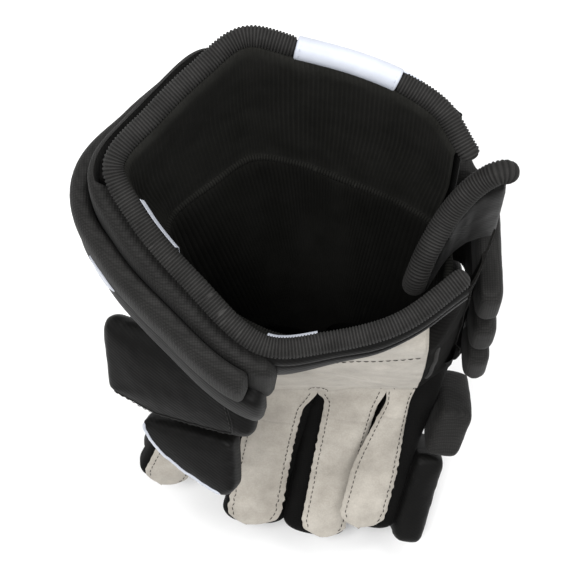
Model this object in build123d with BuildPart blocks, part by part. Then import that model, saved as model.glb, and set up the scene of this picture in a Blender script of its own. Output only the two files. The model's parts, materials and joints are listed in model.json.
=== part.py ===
from build123d import *
import math
import os

os.makedirs("parts", exist_ok=True)

# Right-hand hockey glove, mm.  +Z to the cuff, -Y out of the palm, +X to the little finger.
# The origin is the middle of the wrist opening of the hand compartment.

# ---- driving dimensions -------------------------------------------------------------
rim_slant = 25.0          # the cuff rim is lower at the palm than at the back
rim_height = 60.0         # rim binding centre over the wrist opening
binding_thick = 8.4
lining_thick = 2.0
palm_tilt = 9.8           # the palm leans back towards the fingers
palm_front = -41.6        # palm face, measured square to the palm
back_tilt = 22.9          # the back of the hand leans the other way
leather_thick = 2.0
fabric_thick = 1.5
plate_thick = 1.6
pad_thick = 14.0
stall_wide = 20.0         # room for one finger
stall_deep = 16.0
knuckle_z = -105.0
gap = 2.0

# rim centre line seen along Z, from the back edge of the side slit round to its palm edge
rim_points = [
    (65, 15), (56, 28), (42, 37), (24, 44), (0, 50), (-22, 54), (-40, 42),
    (-57, 27), (-73, 9), (-64, -9), (-44, -31), (-15, -55), (12, -54), (40, -47), (66, -30),
]

# name, knuckle x, knuckle y, lean, curl of base, extra curl of tip, base length, tip length
finger_table = [
    ("index", -37.0, -26.0, 22.5, 15.0, 10.0, 40.0, 40.0),
    ("middle", -8.5, -25.0, 11.0, 27.0, 14.0, 43.0, 43.0),
    ("ring", 27.5, -24.0, 10.0, 29.0, 15.0, 43.0, 45.0),
    ("pinky", 56.5, -25.0, 14.0, 29.0, 17.0, 40.0, 42.0),
]
# extra pad width reaching across the wide gap between the two middle fingers
pad_toward_gap = {"index": 0.0, "middle": 4.2, "ring": -4.2, "pinky": 0.0}

slope = math.tan(math.radians(rim_slant))


# ---- helpers ------------------------------------------------------------------------
def save(builder, label):
    """Name a finished sub-part and write its STEP file."""
    builder.part.label = label
    export_step(builder.part, "parts/" + label + ".step")


def rim_frame(share):
    """Point and outward direction on the rim centre line at a share of its length."""
    point = rim_line.position_at(share)
    along = rim_line.tangent_at(share)
    return point, Vector(-along.Y, along.X, 0).normalized() * -1.0


def wall_face(start, end, inner, outer, steps=22):
    """Closed plan outline between two offsets of the rim line."""
    near = []
    far = []
    for i in range(steps + 1):
        point, out = rim_frame(start + (end - start) * i / steps)
        near.append((point.X + out.X * inner, point.Y + out.Y * inner))
        far.append((point.X + out.X * outer, point.Y + out.Y * outer))
    with BuildSketch(Plane.XY.offset(-60)) as outline:
        with BuildLine():
            Spline(*near)
            Line(near[-1], far[-1])
            Spline(*far)
            Line(far[0], near[0])
        make_face()
    return outline.sketch


def slanted_slab(low, high, middle=rim_height, grade=slope):
    """Keep what lies between two slanted planes, heights measured from the middle plane."""
    with BuildSketch(Plane.YZ.offset(-130)) as section:
        with BuildLine():
            Polyline(
                (-130, middle - 130 * grade + low),
                (130, middle + 130 * grade + low),
                (130, middle + 130 * grade + high),
                (-130, middle - 130 * grade + high),
                close=True,
            )
        make_face()
    extrude(section.sketch, amount=260, mode=Mode.INTERSECT)


def rim_wall(start, end, inner, outer, low, high, floor=None):
    """Curved wall following the rim; low and high run parallel to the rim plane."""
    extrude(wall_face(start, end, inner, outer), amount=240)
    slanted_slab(low, high)
    if floor is not None:
        with Locations((0, 0, floor + 100)):
            Box(300, 300, 200, mode=Mode.INTERSECT)


def padded_box(wide, deep, tall, centre, radius):
    """Box with every edge rounded."""
    corner = Plane(origin=(-wide / 2, -deep / 2, -tall / 2))
    shape = Solid.make_box(wide, deep, tall, corner)
    shape = shape.fillet(radius, shape.edges())
    with Locations(centre):
        add(shape)


rim_spline = Edge.make_spline([Vector(x, y, 0) for x, y in rim_points])
rim_line = rim_spline

# ---- cuff ---------------------------------------------------------------------------
tab_start = 0.104
tab_end = 0.229
roll_height = 34.0        # the outer roll is nearly level
roll_grade = 0.2
half_binding = binding_thick / 2

with BuildPart() as cuff_rim_binding:
    rim_wall(0.0, tab_start, -half_binding, half_binding, -half_binding, half_binding)
    with BuildPart(mode=Mode.ADD) as long_run:
        rim_wall(tab_end, 1.0, -half_binding, half_binding, -half_binding, half_binding)
save(cuff_rim_binding, "cuff_rim_binding")

with BuildPart() as cuff_rim_tab:
    rim_wall(tab_start + 0.001, tab_end - 0.001, -4.8, 4.8, -5, 5)
save(cuff_rim_tab, "cuff_rim_tab")

with BuildPart() as cuff_lining:
    rim_wall(0.01, 0.99, -4.0, -2.0, -90, -5.2, floor=10)
save(cuff_lining, "cuff_lining")

with BuildPart() as cuff_back_plate:
    rim_wall(0.10, 0.36, -1.8, 0.0, -64, -12, floor=16)
save(cuff_back_plate, "cuff_back_plate")

with BuildPart() as cuff_back_panel:
    rim_wall(0.03, 0.50, 0.2, 6.5, -90, -5.2, floor=12)
save(cuff_back_panel, "cuff_back_panel")

with BuildPart() as cuff_back_roll:
    rim_wall(0.06, 0.32, 6.7, 19.0, -76, -46, floor=14)
save(cuff_back_roll, "cuff_back_roll")

with BuildPart() as cuff_shoulder_band:
    rim_wall(0.34, 0.74, 6.7, 11.0, -90, -6, floor=26)
save(cuff_shoulder_band, "cuff_shoulder_band")

with BuildPart() as cuff_outer_roll:
    extrude(wall_face(0.34, 0.735, 11.2, 19.5), amount=240)
    slanted_slab(-10, 10, roll_height, roll_grade)
save(cuff_outer_roll, "cuff_outer_roll")

with BuildPart() as cuff_palm_band:
    rim_wall(0.515, 0.99, 0.2, 4.5, -90, -5.2, floor=8)
    with BuildSketch(Plane.XZ.offset(-100)) as above_band_edge:
        with BuildLine():
            Polyline((-100, -10), (100, 40), (100, 140), (-100, 140), close=True)
        make_face()
    extrude(above_band_edge.sketch, amount=200, mode=Mode.INTERSECT)
save(cuff_palm_band, "cuff_palm_band")

with BuildPart() as cuff_lower_band:
    extrude(wall_face(0.44, 0.755, 6.7, 15.0), amount=240)
    slanted_slab(-60, -10.4, roll_height, roll_grade)
    with Locations((0, 0, -6 + 100)):
        Box(300, 300, 200, mode=Mode.INTERSECT)
    add(cuff_shoulder_band.part, mode=Mode.SUBTRACT)
save(cuff_lower_band, "cuff_lower_band")

# ---- cuff flap on the little-finger side --------------------------------------------
flap_points = [(47, -22), (53, -11), (64, 2), (73, 7), (83, 9)]
flap_line = Edge.make_spline([Vector(x, y, 0) for x, y in flap_points])


def flap_slab(inner, outer, steps=10):
    """Upright slab along the flap line."""
    near = []
    far = []
    for i in range(steps + 1):
        point = flap_line.position_at(i / steps)
        along = flap_line.tangent_at(i / steps)
        out = Vector(along.Y, -along.X, 0)
        near.append((point.X + out.X * inner, point.Y + out.Y * inner))
        far.append((point.X + out.X * outer, point.Y + out.Y * outer))
    with BuildSketch(Plane.XY.offset(-40)) as outline:
        with BuildLine():
            Spline(*near)
            Line(near[-1], far[-1])
            Spline(*far)
            Line(far[0], near[0])
        make_face()
    extrude(outline.sketch, amount=140)


def flap_outline(grow, low, steep=30.0):
    """Side outline of the flap: rises from the palm end to the back end."""
    with BuildSketch(Plane.XZ.offset(-60)) as outline:
        with BuildLine():
            Polyline(
                (40 - grow, low), (90 + grow, low), (90 + grow, 40),
                (88 + grow, 53 + grow), (82, 58 + grow), (69, 53 + grow),
                (59, 41 + grow), (49 - grow, steep + grow), (40 - grow, 20),
                close=True,
            )
        make_face()
    extrude(outline.sketch, amount=120, mode=Mode.INTERSECT)


with BuildPart() as cuff_flap_plate:
    flap_slab(-0.8, 0.8)
    flap_outline(-7, 8)
save(cuff_flap_plate, "cuff_flap_plate")

with BuildPart() as cuff_flap_pad:
    flap_slab(-5.0, 5.0)
    flap_outline(-5, 4)
    add(cuff_flap_plate.part, mode=Mode.SUBTRACT)
save(cuff_flap_pad, "cuff_flap_pad")

with BuildPart() as cuff_flap_binding:
    flap_slab(-5.6, 5.6)
    flap_outline(0, 14)
    with BuildPart(mode=Mode.SUBTRACT) as flap_core:
        flap_slab(-30, 30)
        flap_outline(-4.9, -20)
save(cuff_flap_binding, "cuff_flap_binding")

# ---- hand compartment ---------------------------------------------------------------
tilt = math.radians(palm_tilt)
palm_plane = Plane(
    origin=(0, 0, 0), x_dir=(1, 0, 0), z_dir=(0, -math.sin(tilt), math.cos(tilt))
)

# thumb frame: origin at the web, Y out through the thumb pad, -Z to the thumb tip
thumb_axis = Vector(0.05, -0.57, -0.82).normalized()
thumb_out = Vector(-0.45, -0.80, 0.50)
thumb_out = (thumb_out - thumb_axis * thumb_out.dot(thumb_axis)).normalized()
thumb_web = Vector(-41, -27, -52)
thumb_side = thumb_out.cross(thumb_axis * -1.0)
thumb_plane = Plane(origin=thumb_web, x_dir=thumb_side, z_dir=thumb_axis * -1.0)


def thumb_room():
    """Space kept clear for the thumb stall."""
    with Locations(thumb_plane):
        with Locations((0, 38, -30)):
            Box(84, 80, 130, mode=Mode.SUBTRACT)


wrist_outline = [
    (58, 12), (43, 24), (22, 34), (0, 43), (-21, 46), (-38, 34),
    (-57, 14), (-52, -8), (-34, -27), (-8, -41), (24, -42), (54, -34), (63, -10),
]
knuckle_outline = [
    (66, -4), (50, 0), (26, 1), (2, 1), (-20, 1), (-36, 0),
    (-50, -5), (-52, -15), (-40, -23), (-12, -23.5), (20, -23.5), (56, -23), (69, -14),
]


def hand_section(outline, level, grow):
    """Smooth closed outline at a level, grown from its middle."""
    middle = Vector(4, 0, 0) if level > -50 else Vector(8, -11, 0)
    points = []
    for x, y in outline:
        away = Vector(x - middle.X, y - middle.Y, 0)
        points.append((x + away.normalized().X * grow, y + away.normalized().Y * grow))
    with BuildSketch(Plane.XY.offset(level)) as section:
        with BuildLine():
            Spline(*points, periodic=True)
        make_face()
    return section.sketch


def trim_above(level):
    """Trim everything above a level."""
    with Locations((0, 0, level - 150)):
        Box(300, 300, 300, mode=Mode.INTERSECT)


def trim_knuckles():
    """Trim the finger end square to the finger roots."""
    with Locations(Plane(origin=(0, -24, -102), x_dir=(1, 0, 0), z_dir=(0, 0.42, 0.91))):
        with Locations((0, 0, -100)):
            Box(300, 300, 200, mode=Mode.SUBTRACT)


def hand_tube(grow):
    """Tapered tube of the hand compartment, grown outwards."""
    loft([hand_section(wrist_outline, 6, grow), hand_section(knuckle_outline, -112, grow)])


with BuildPart() as hand_lining:
    hand_tube(0)
    with BuildPart(mode=Mode.SUBTRACT) as hand_space:
        hand_tube(-lining_thick)
    trim_above(-6)
    trim_knuckles()
    thumb_room()
save(hand_lining, "hand_lining")

with BuildPart() as wrist_mouth_binding:
    hand_tube(1.0)
    with BuildPart(mode=Mode.SUBTRACT) as mouth_space:
        hand_tube(-3.0)
    trim_above(2.5)
    with Locations((0, 0, 50 - 5.8)):
        Box(300, 300, 100, mode=Mode.INTERSECT)
save(wrist_mouth_binding, "wrist_mouth_binding")

with BuildPart() as palm_leather:
    with Locations(palm_plane):
        with Locations((11.5, palm_front - 2.2, -43)):
            Box(107, leather_thick, 108)
    trim_above(8)
    thumb_room()
    with Locations((-45, -45, 0)):
        Box(50, 40, 60, mode=Mode.SUBTRACT)
    with Locations((-50, -40, -52)):
        Box(46, 50, 62, mode=Mode.SUBTRACT)
save(palm_leather, "palm_leather")

with BuildPart() as palm_patch:
    with Locations(palm_plane):
        with Locations((24, palm_front - 4.1, -18)):
            Box(70, 1.4, 40)
    trim_above(0)
    thumb_room()
save(palm_patch, "palm_patch")

with BuildPart() as side_panel:
    with Locations(palm_plane):
        with Locations((70.8, palm_front + 9, -60)):
            Box(2.4, 18, 76)
save(side_panel, "side_panel")

lean = math.radians(back_tilt)
back_plane = Plane(
    origin=(0, 46, 0), x_dir=(1, 0, 0), z_dir=(0, math.sin(lean), math.cos(lean))
)
roll_tops = [-8.0, -41.0, -74.0]
roll_tall = 31.0
roll_left = [-52.0, -56.0, -54.0]
for number in range(3):
    top = roll_tops[number]
    middle = top - roll_tall / 2
    left = roll_left[number]
    with BuildPart() as back_plate:
        with Locations(back_plane):
            with Locations((8, 2 + plate_thick / 2, middle)):
                Box(96, plate_thick, roll_tall - 8)
    save(back_plate, "back_plate_" + str(number + 1))
    with BuildPart() as back_roll:
        with Locations(back_plane):
            padded_box(78 - left, 16, roll_tall, ((78 + left) / 2, 10, middle), 6.5)
        low_edge = -20 - 3 * number
        high_edge = 54 + 0.42 * middle
        centre = (81.8, (low_edge + high_edge) / 2, middle * 0.92 - 3)
        padded_box(14, high_edge - low_edge, roll_tall * 0.9, centre, 5)
        with Locations(back_plane):
            with Locations((8, 2 + plate_thick / 2, middle)):
                Box(96.4, plate_thick + 0.4, roll_tall - 7.6, mode=Mode.SUBTRACT)
    save(back_roll, "back_roll_" + str(number + 1))


# ---- fingers ------------------------------------------------------------------------
def finger_plane(origin, lean, curl):
    """Frame of a finger segment: X across, Y to the back of the hand, -Z to the tip."""
    a = math.radians(lean)
    b = math.radians(curl)
    across = Vector(math.cos(a), -math.sin(b) * math.sin(a), -math.cos(b) * math.sin(a))
    down = Vector(-math.sin(a), -math.sin(b) * math.cos(a), -math.cos(b) * math.cos(a))
    return Plane(origin=origin, x_dir=across, z_dir=down * -1.0)


def plate_box(frame, wide, low_y, high_y, low_z, high_z, shift=0.0):
    """Flat plate given by its limits in a segment frame."""
    with Locations(frame):
        with Locations((shift, (low_y + high_y) / 2, (low_z + high_z) / 2)):
            Box(wide, high_y - low_y, high_z - low_z)


def soft_box(frame, wide, low_y, high_y, low_z, high_z, radius, shift=0.0):
    """Rounded pad given by its limits in a segment frame."""
    with Locations(frame):
        padded_box(wide, high_y - low_y, high_z - low_z,
                   (shift, (low_y + high_y) / 2, (low_z + high_z) / 2), radius)


stall_top = leather_thick + stall_deep
for name, kx, ky, lean, curl, bend, base_long, tip_long in finger_table:
    knuckle = Vector(kx, ky, knuckle_z)
    base_frame = finger_plane(knuckle, lean, curl)
    middle_joint = knuckle - base_frame.z_dir * base_long
    down = -1.0 * base_frame.z_dir
    turn = math.radians(bend)
    tip_down = down * math.cos(turn) - base_frame.y_dir * math.sin(turn)
    tip_frame = Plane(origin=middle_joint, x_dir=base_frame.x_dir, z_dir=tip_down * -1.0)
    side = stall_wide / 2 + fabric_thick / 2 + 0.1
    tip_side = side - 1.1
    toward_gap = pad_toward_gap[name]
    pad_wide = 26.0 + abs(toward_gap)
    tip_wide = 21.4 + abs(toward_gap)
    outward = 0.0
    pad_shift = toward_gap / 2
    if name == "pinky":
        outward = 19.0
        pad_wide = 25.0
        pad_shift = 0.5

    with BuildPart() as base_leather:
        plate_box(base_frame, 23, 0, leather_thick, -base_long + 1, -1.5)
    save(base_leather, name + "_base_leather")

    with BuildPart() as base_gusset:
        for place in (min(toward_gap, 0) - side, max(toward_gap, 0) + side):
            plate_box(base_frame, fabric_thick, leather_thick + 0.1, stall_top - 0.1,
                      -base_long + 1.5, -4.5, place)
    save(base_gusset, name + "_base_gusset")

    with BuildPart() as base_plate:
        plate_box(base_frame, 21, stall_top, stall_top + plate_thick, -base_long + 4, -9)
    save(base_plate, name + "_base_plate")

    with BuildPart() as base_pad:
        soft_box(base_frame, pad_wide, stall_top, stall_top + pad_thick, -base_long + 1, -7, 5, pad_shift)
        if outward:
            soft_box(base_frame, outward, -6, stall_top + pad_thick - 2, -base_long + 1, -7, 5,
                     side + 1.5 + outward / 2)
        plate_box_hole = (21.4, stall_top - 0.5, stall_top + plate_thick + 0.2, -base_long + 3.8, -8.8)
        with Locations(base_frame):
            with Locations((0, (plate_box_hole[1] + plate_box_hole[2]) / 2,
                            (plate_box_hole[3] + plate_box_hole[4]) / 2)):
                Box(plate_box_hole[0], plate_box_hole[2] - plate_box_hole[1],
                    plate_box_hole[4] - plate_box_hole[3], mode=Mode.SUBTRACT)
    save(base_pad, name + "_base_pad")

    with BuildPart() as tip_leather:
        plate_box(tip_frame, 21, 0, leather_thick, -tip_long, -1)
    save(tip_leather, name + "_tip_leather")

    with BuildPart() as tip_gusset:
        for place in (min(toward_gap, 0) - tip_side, max(toward_gap, 0) + tip_side):
            plate_box(tip_frame, fabric_thick, leather_thick + 0.1, stall_top - 0.1,
                      -tip_long + 2.2, -1.5, place)
        plate_box(tip_frame, 21, leather_thick + 0.1, stall_top - 0.1, -tip_long, -tip_long + 2)
    save(tip_gusset, name + "_tip_gusset")

    with BuildPart() as tip_pad:
        soft_box(tip_frame, tip_wide, stall_top, stall_top + pad_thick, -tip_long - 4, -1.5, 5, toward_gap / 2)
        if outward:
            soft_box(tip_frame, outward - 2, 0, stall_top + pad_thick, -tip_long - 11, -1.5, 5,
                     tip_side + 0.3 + outward / 2)
            soft_box(tip_frame, 20, stall_top, stall_top + pad_thick, -tip_long - 13, -1.5, 5, tip_side)
    save(tip_pad, name + "_tip_pad")

# ---- thumb --------------------------------------------------------------------------
thumb_base_low = -20.0
thumb_tip_long = 34.0
tip_origin = thumb_web + thumb_axis * (-thumb_base_low)
thumb_tip_frame = Plane(origin=tip_origin, x_dir=thumb_side, z_dir=thumb_axis * -1.0)
thumb_half = 11.0
# outline seen along the pad's normal; the second number grows towards the tip
guard_points = [(21, 1.5), (20, 9), (13, 19), (2, 27), (-10, 33), (-20, 37), (-26, 30), (-27, 1.5)]

with BuildPart() as thumb_base_leather:
    plate_box(thumb_plane, 25, 0, leather_thick, thumb_base_low + 1, -1)
save(thumb_base_leather, "thumb_base_leather")

with BuildPart() as thumb_base_gusset:
    for sign in (-1, 1):
        plate_box(thumb_plane, fabric_thick, leather_thick + 0.1, stall_top - 0.1,
                  thumb_base_low + 1.5, 10, sign * (thumb_half + 0.9))
save(thumb_base_gusset, "thumb_base_gusset")

with BuildPart() as thumb_base_plate:
    plate_box(thumb_plane, 40, stall_top, stall_top + plate_thick, thumb_base_low + 4, 18)
save(thumb_base_plate, "thumb_base_plate")

with BuildPart() as thumb_base_block:
    soft_box(thumb_plane, 74, stall_top, stall_top + 16, thumb_base_low + 1, 29, 7.5, -2)
    with Locations(thumb_plane):
        with Locations((0, stall_top + 0.65, (thumb_base_low + 4 + 18) / 2)):
            Box(40.4, 2.3, 14 - thumb_base_low + 0.4, mode=Mode.SUBTRACT)
save(thumb_base_block, "thumb_base_block")

with BuildPart() as thumb_tip_leather:
    plate_box(thumb_tip_frame, 25, 0, leather_thick, -thumb_tip_long, -1)
save(thumb_tip_leather, "thumb_tip_leather")

with BuildPart() as thumb_tip_gusset:
    for sign in (-1, 1):
        plate_box(thumb_tip_frame, fabric_thick, leather_thick + 0.1, stall_top - 0.1,
                  -thumb_tip_long + 2.2, -1.5, sign * (thumb_half + 0.9))
    plate_box(thumb_tip_frame, 25, leather_thick + 0.1, stall_top - 0.1,
              -thumb_tip_long, -thumb_tip_long + 2)
save(thumb_tip_gusset, "thumb_tip_gusset")

with BuildPart() as thumb_tip_guard:
    with BuildSketch(Plane(origin=thumb_tip_frame.origin + thumb_tip_frame.y_dir * stall_top,
                           x_dir=thumb_tip_frame.x_dir, z_dir=thumb_tip_frame.y_dir)) as guard_outline:
        Polygon(*guard_points, align=None)
        fillet(guard_outline.vertices(), 3.5)
    extrude(guard_outline.sketch, amount=12)
    outer_face = faces().sort_by(Axis(thumb_tip_frame.origin, thumb_tip_frame.y_dir))[-1]
    fillet(outer_face.edges(), 3)
save(thumb_tip_guard, "thumb_tip_guard")
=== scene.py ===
import json
import math

import bpy
import numpy as np
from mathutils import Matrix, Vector, noise

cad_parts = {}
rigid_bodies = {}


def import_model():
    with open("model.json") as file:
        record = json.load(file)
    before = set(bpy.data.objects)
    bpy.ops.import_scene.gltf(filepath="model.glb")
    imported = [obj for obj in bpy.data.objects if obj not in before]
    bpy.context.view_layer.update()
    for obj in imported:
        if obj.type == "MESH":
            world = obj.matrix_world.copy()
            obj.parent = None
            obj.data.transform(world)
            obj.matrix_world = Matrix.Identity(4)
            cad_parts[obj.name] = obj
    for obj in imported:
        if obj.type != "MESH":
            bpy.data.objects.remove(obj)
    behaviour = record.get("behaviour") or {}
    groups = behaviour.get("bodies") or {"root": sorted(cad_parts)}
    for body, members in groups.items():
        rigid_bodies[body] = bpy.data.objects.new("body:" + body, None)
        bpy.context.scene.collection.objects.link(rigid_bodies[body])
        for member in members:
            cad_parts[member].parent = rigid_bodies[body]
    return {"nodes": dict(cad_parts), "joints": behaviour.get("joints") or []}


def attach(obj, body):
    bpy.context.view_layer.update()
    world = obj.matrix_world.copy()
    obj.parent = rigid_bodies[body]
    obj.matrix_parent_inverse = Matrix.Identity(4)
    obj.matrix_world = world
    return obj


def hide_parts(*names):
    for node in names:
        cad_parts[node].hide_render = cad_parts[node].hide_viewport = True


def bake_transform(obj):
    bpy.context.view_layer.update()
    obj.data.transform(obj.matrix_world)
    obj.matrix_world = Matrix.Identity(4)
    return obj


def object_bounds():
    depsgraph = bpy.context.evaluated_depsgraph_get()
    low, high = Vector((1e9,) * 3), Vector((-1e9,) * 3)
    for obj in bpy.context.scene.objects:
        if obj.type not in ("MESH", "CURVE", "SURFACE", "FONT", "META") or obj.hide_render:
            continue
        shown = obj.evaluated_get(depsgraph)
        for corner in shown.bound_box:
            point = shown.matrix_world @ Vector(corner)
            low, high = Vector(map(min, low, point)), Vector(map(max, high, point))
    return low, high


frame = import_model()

cad_low, cad_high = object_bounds()
scene = bpy.context.scene
MM = 0.001


# ---- small maths -----------------------------------------------------------------------
def arr(*a):
    return np.array(a, float)


def unit(v):
    v = np.asarray(v, float)
    return v / np.maximum(np.linalg.norm(v, axis=-1, keepdims=True), 1e-12)


def ease(x):
    x = np.clip(x, 0, 1)
    return x * x * (3 - 2 * x)


def wobble(x, wave, seed):
    """Smooth even wander between -1 and 1, wavelength about wave."""
    r = np.random.RandomState(seed)
    x = np.asarray(x, float)
    total = np.zeros_like(x)
    for _ in range(4):
        total += np.sin(2 * np.pi * x / (wave * r.uniform(0.7, 1.6)) + r.uniform(0, 6.28))
    return total / 2.6


def curve(points, closed=False, dense=40):
    """Smooth line through the points, sampled finely."""
    p = np.array(points, float)
    if closed:
        p = np.vstack([p[-1], p, p[0], p[1]])
    else:
        p = np.vstack([2 * p[0] - p[1], p, 2 * p[-1] - p[-2]])
    out = []
    for i in range(1, len(p) - 2):
        a, b, c, d = p[i - 1], p[i], p[i + 1], p[i + 2]
        t1 = np.linalg.norm(b - a) ** 0.5 + 1e-9
        t2 = t1 + np.linalg.norm(c - b) ** 0.5 + 1e-9
        t3 = t2 + np.linalg.norm(d - c) ** 0.5 + 1e-9
        t = np.linspace(t1, t2, dense, endpoint=False)[:, None]
        a1 = (t1 - t) / t1 * a + t / t1 * b
        a2 = (t2 - t) / (t2 - t1) * b + (t - t1) / (t2 - t1) * c
        a3 = (t3 - t) / (t3 - t2) * c + (t - t2) / (t3 - t2) * d
        b1 = (t2 - t) / t2 * a1 + t / t2 * a2
        b2 = (t3 - t) / (t3 - t1) * a2 + (t - t1) / (t3 - t1) * a3
        out.append((t2 - t) / (t2 - t1) * b1 + (t - t1) / (t2 - t1) * b2)
    out.append(p[-2][None])
    return np.vstack(out)


class Path:
    """A line read by distance along it."""

    def __init__(self, points):
        self.p = np.asarray(points, float)
        d = np.linalg.norm(np.diff(self.p, axis=0), axis=1)
        self.s = np.concatenate([[0], np.cumsum(d)])
        self.long = self.s[-1]

    def at(self, s):
        s = np.asarray(s, float)
        return np.stack([np.interp(s, self.s, self.p[:, k]) for k in range(3)], -1)

    def along(self, s):
        return unit(self.at(np.asarray(s) + 1.0) - self.at(np.asarray(s) - 1.0))


# ---- materials -------------------------------------------------------------------------
def material(name, dark, light, rough, sheen=0.0, grain=(), mottle=60.0, spec=0.5, coat=0.0, wear_and_crest_highlight=0.0):
    """Procedural surface. grain is a list of (kind, size in mm, height in mm, how much it darkens)."""
    m = bpy.data.materials.new(name)
    m.use_nodes = True
    t = m.node_tree
    n, l = t.nodes, t.links
    n.clear()
    out = n.new("ShaderNodeOutputMaterial")
    s = n.new("ShaderNodeBsdfPrincipled")
    l.new(s.outputs["BSDF"], out.inputs["Surface"])
    s.inputs["Specular IOR Level"].default_value = spec
    s.inputs["Sheen Weight"].default_value = sheen
    s.inputs["Sheen Roughness"].default_value = 0.45
    s.inputs["Coat Weight"].default_value = coat
    where = n.new("ShaderNodeTexCoord").outputs["Object"]
    patch = n.new("ShaderNodeTexNoise")
    patch.inputs["Scale"].default_value = mottle
    patch.inputs["Detail"].default_value = 6
    patch.inputs["Roughness"].default_value = 0.65
    l.new(where, patch.inputs["Vector"])
    ramp = n.new("ShaderNodeValToRGB")
    ramp.color_ramp.elements[0].position = 0.3
    ramp.color_ramp.elements[0].color = (*dark, 1)
    ramp.color_ramp.elements[1].position = 0.72
    ramp.color_ramp.elements[1].color = (*light, 1)
    l.new(patch.outputs["Fac"], ramp.inputs["Fac"])
    colour = ramp.outputs["Color"]
    roughness = n.new("ShaderNodeMapRange")
    roughness.inputs["To Min"].default_value = rough - 0.07
    roughness.inputs["To Max"].default_value = min(rough + 0.09, 1)
    l.new(patch.outputs["Fac"], roughness.inputs["Value"])
    l.new(roughness.outputs["Result"], s.inputs["Roughness"])
    bump_before = None
    for kind, size, height, darkens in grain:
        if kind == "cells":
            g = n.new("ShaderNodeTexVoronoi")
            g.inputs["Scale"].default_value = 1000 / size
            g.inputs["Randomness"].default_value = 0.12
            value = g.outputs["Distance"]
        elif kind == "pores":
            g = n.new("ShaderNodeTexVoronoi")
            g.inputs["Scale"].default_value = 1000 / size
            value = g.outputs["Distance"]
        elif kind == "twill":
            g = n.new("ShaderNodeTexWave")
            g.wave_type = "BANDS"
            g.bands_direction = "DIAGONAL"
            g.inputs["Scale"].default_value = 314 / size * 0.58
            g.inputs["Distortion"].default_value = 0.6
            g.inputs["Detail"].default_value = 1
            value = g.outputs["Fac"]
        else:
            g = n.new("ShaderNodeTexNoise")
            g.inputs["Scale"].default_value = 1000 / size
            g.inputs["Detail"].default_value = 5
            value = g.outputs["Fac"]
        l.new(where, g.inputs["Vector"])
        b = n.new("ShaderNodeBump")
        b.inputs["Strength"].default_value = 0.9
        b.inputs["Distance"].default_value = height * MM
        l.new(value, b.inputs["Height"])
        if bump_before:
            l.new(bump_before, b.inputs["Normal"])
        bump_before = b.outputs["Normal"]
        if darkens:
            k = n.new("ShaderNodeMapRange")
            k.inputs["From Min"].default_value = 0.1
            k.inputs["From Max"].default_value = 0.8
            k.inputs["To Min"].default_value = 1.0 + darkens * 0.5
            k.inputs["To Max"].default_value = 1.0 - darkens
            l.new(value, k.inputs["Value"])
            mix = n.new("ShaderNodeVectorMath")
            mix.operation = "SCALE"
            l.new(colour, mix.inputs[0])
            l.new(k.outputs["Result"], mix.inputs["Scale"])
            colour = mix.outputs["Vector"]
    # Pointiness scales the colour: lighter on ridges and edges, darker for the leather. This is partly edge wear
    # and partly a painted highlight on rib crests.
    if wear_and_crest_highlight:
        geo = n.new("ShaderNodeNewGeometry")
        edge = n.new("ShaderNodeMapRange")
        edge.inputs["From Min"].default_value = 0.5
        edge.inputs["From Max"].default_value = 0.62
        edge.inputs["To Min"].default_value = 1.0
        edge.inputs["To Max"].default_value = 1.0 + wear_and_crest_highlight
        l.new(geo.outputs["Pointiness"], edge.inputs["Value"])
        mix = n.new("ShaderNodeVectorMath")
        mix.operation = "SCALE"
        l.new(colour, mix.inputs[0])
        l.new(edge.outputs["Result"], mix.inputs["Scale"])
        colour = mix.outputs["Vector"]
    l.new(colour, s.inputs["Base Color"])
    if bump_before:
        l.new(bump_before, s.inputs["Normal"])
    return m


# KNIT and LINING take the strongest Pointiness lift, which is a painted highlight on their rib crests. The
# smaller values on the other fabrics lighten worn edges, and the leather's negative value darkens its edges.
KNIT = material("rib_knit", (0.0105, 0.0102, 0.0098), (0.0195, 0.0190, 0.0184), 0.72, 0.02,
                [("fibre", 0.9, 0.12, 0.25), ("fibre", 0.25, 0.05, 0.0)], 90, 0.10, wear_and_crest_highlight=1.6)
LINING = material("rib_lining", (0.0048, 0.0048, 0.0042), (0.0084, 0.0083, 0.0075), 0.85, 0.01,
                  [("fibre", 0.7, 0.1, 0.3)], 70, 0.06, wear_and_crest_highlight=3.0)
MESH = material("shell_mesh", (0.0140, 0.0137, 0.0132), (0.0240, 0.0234, 0.0226), 0.66, 0.02,
                [("cells", 1.05, 0.28, 0.55), ("fibre", 5.0, 0.15, 0.1)], 55, 0.10, wear_and_crest_highlight=0.7)
NYLON = material("smooth_nylon", (0.0032, 0.0031, 0.0030), (0.0052, 0.0051, 0.0048), 0.52, 0.02,
                 [("twill", 0.7, 0.05, 0.15), ("fibre", 6.0, 0.25, 0.1)], 40, 0.10, wear_and_crest_highlight=0.6)
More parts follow.
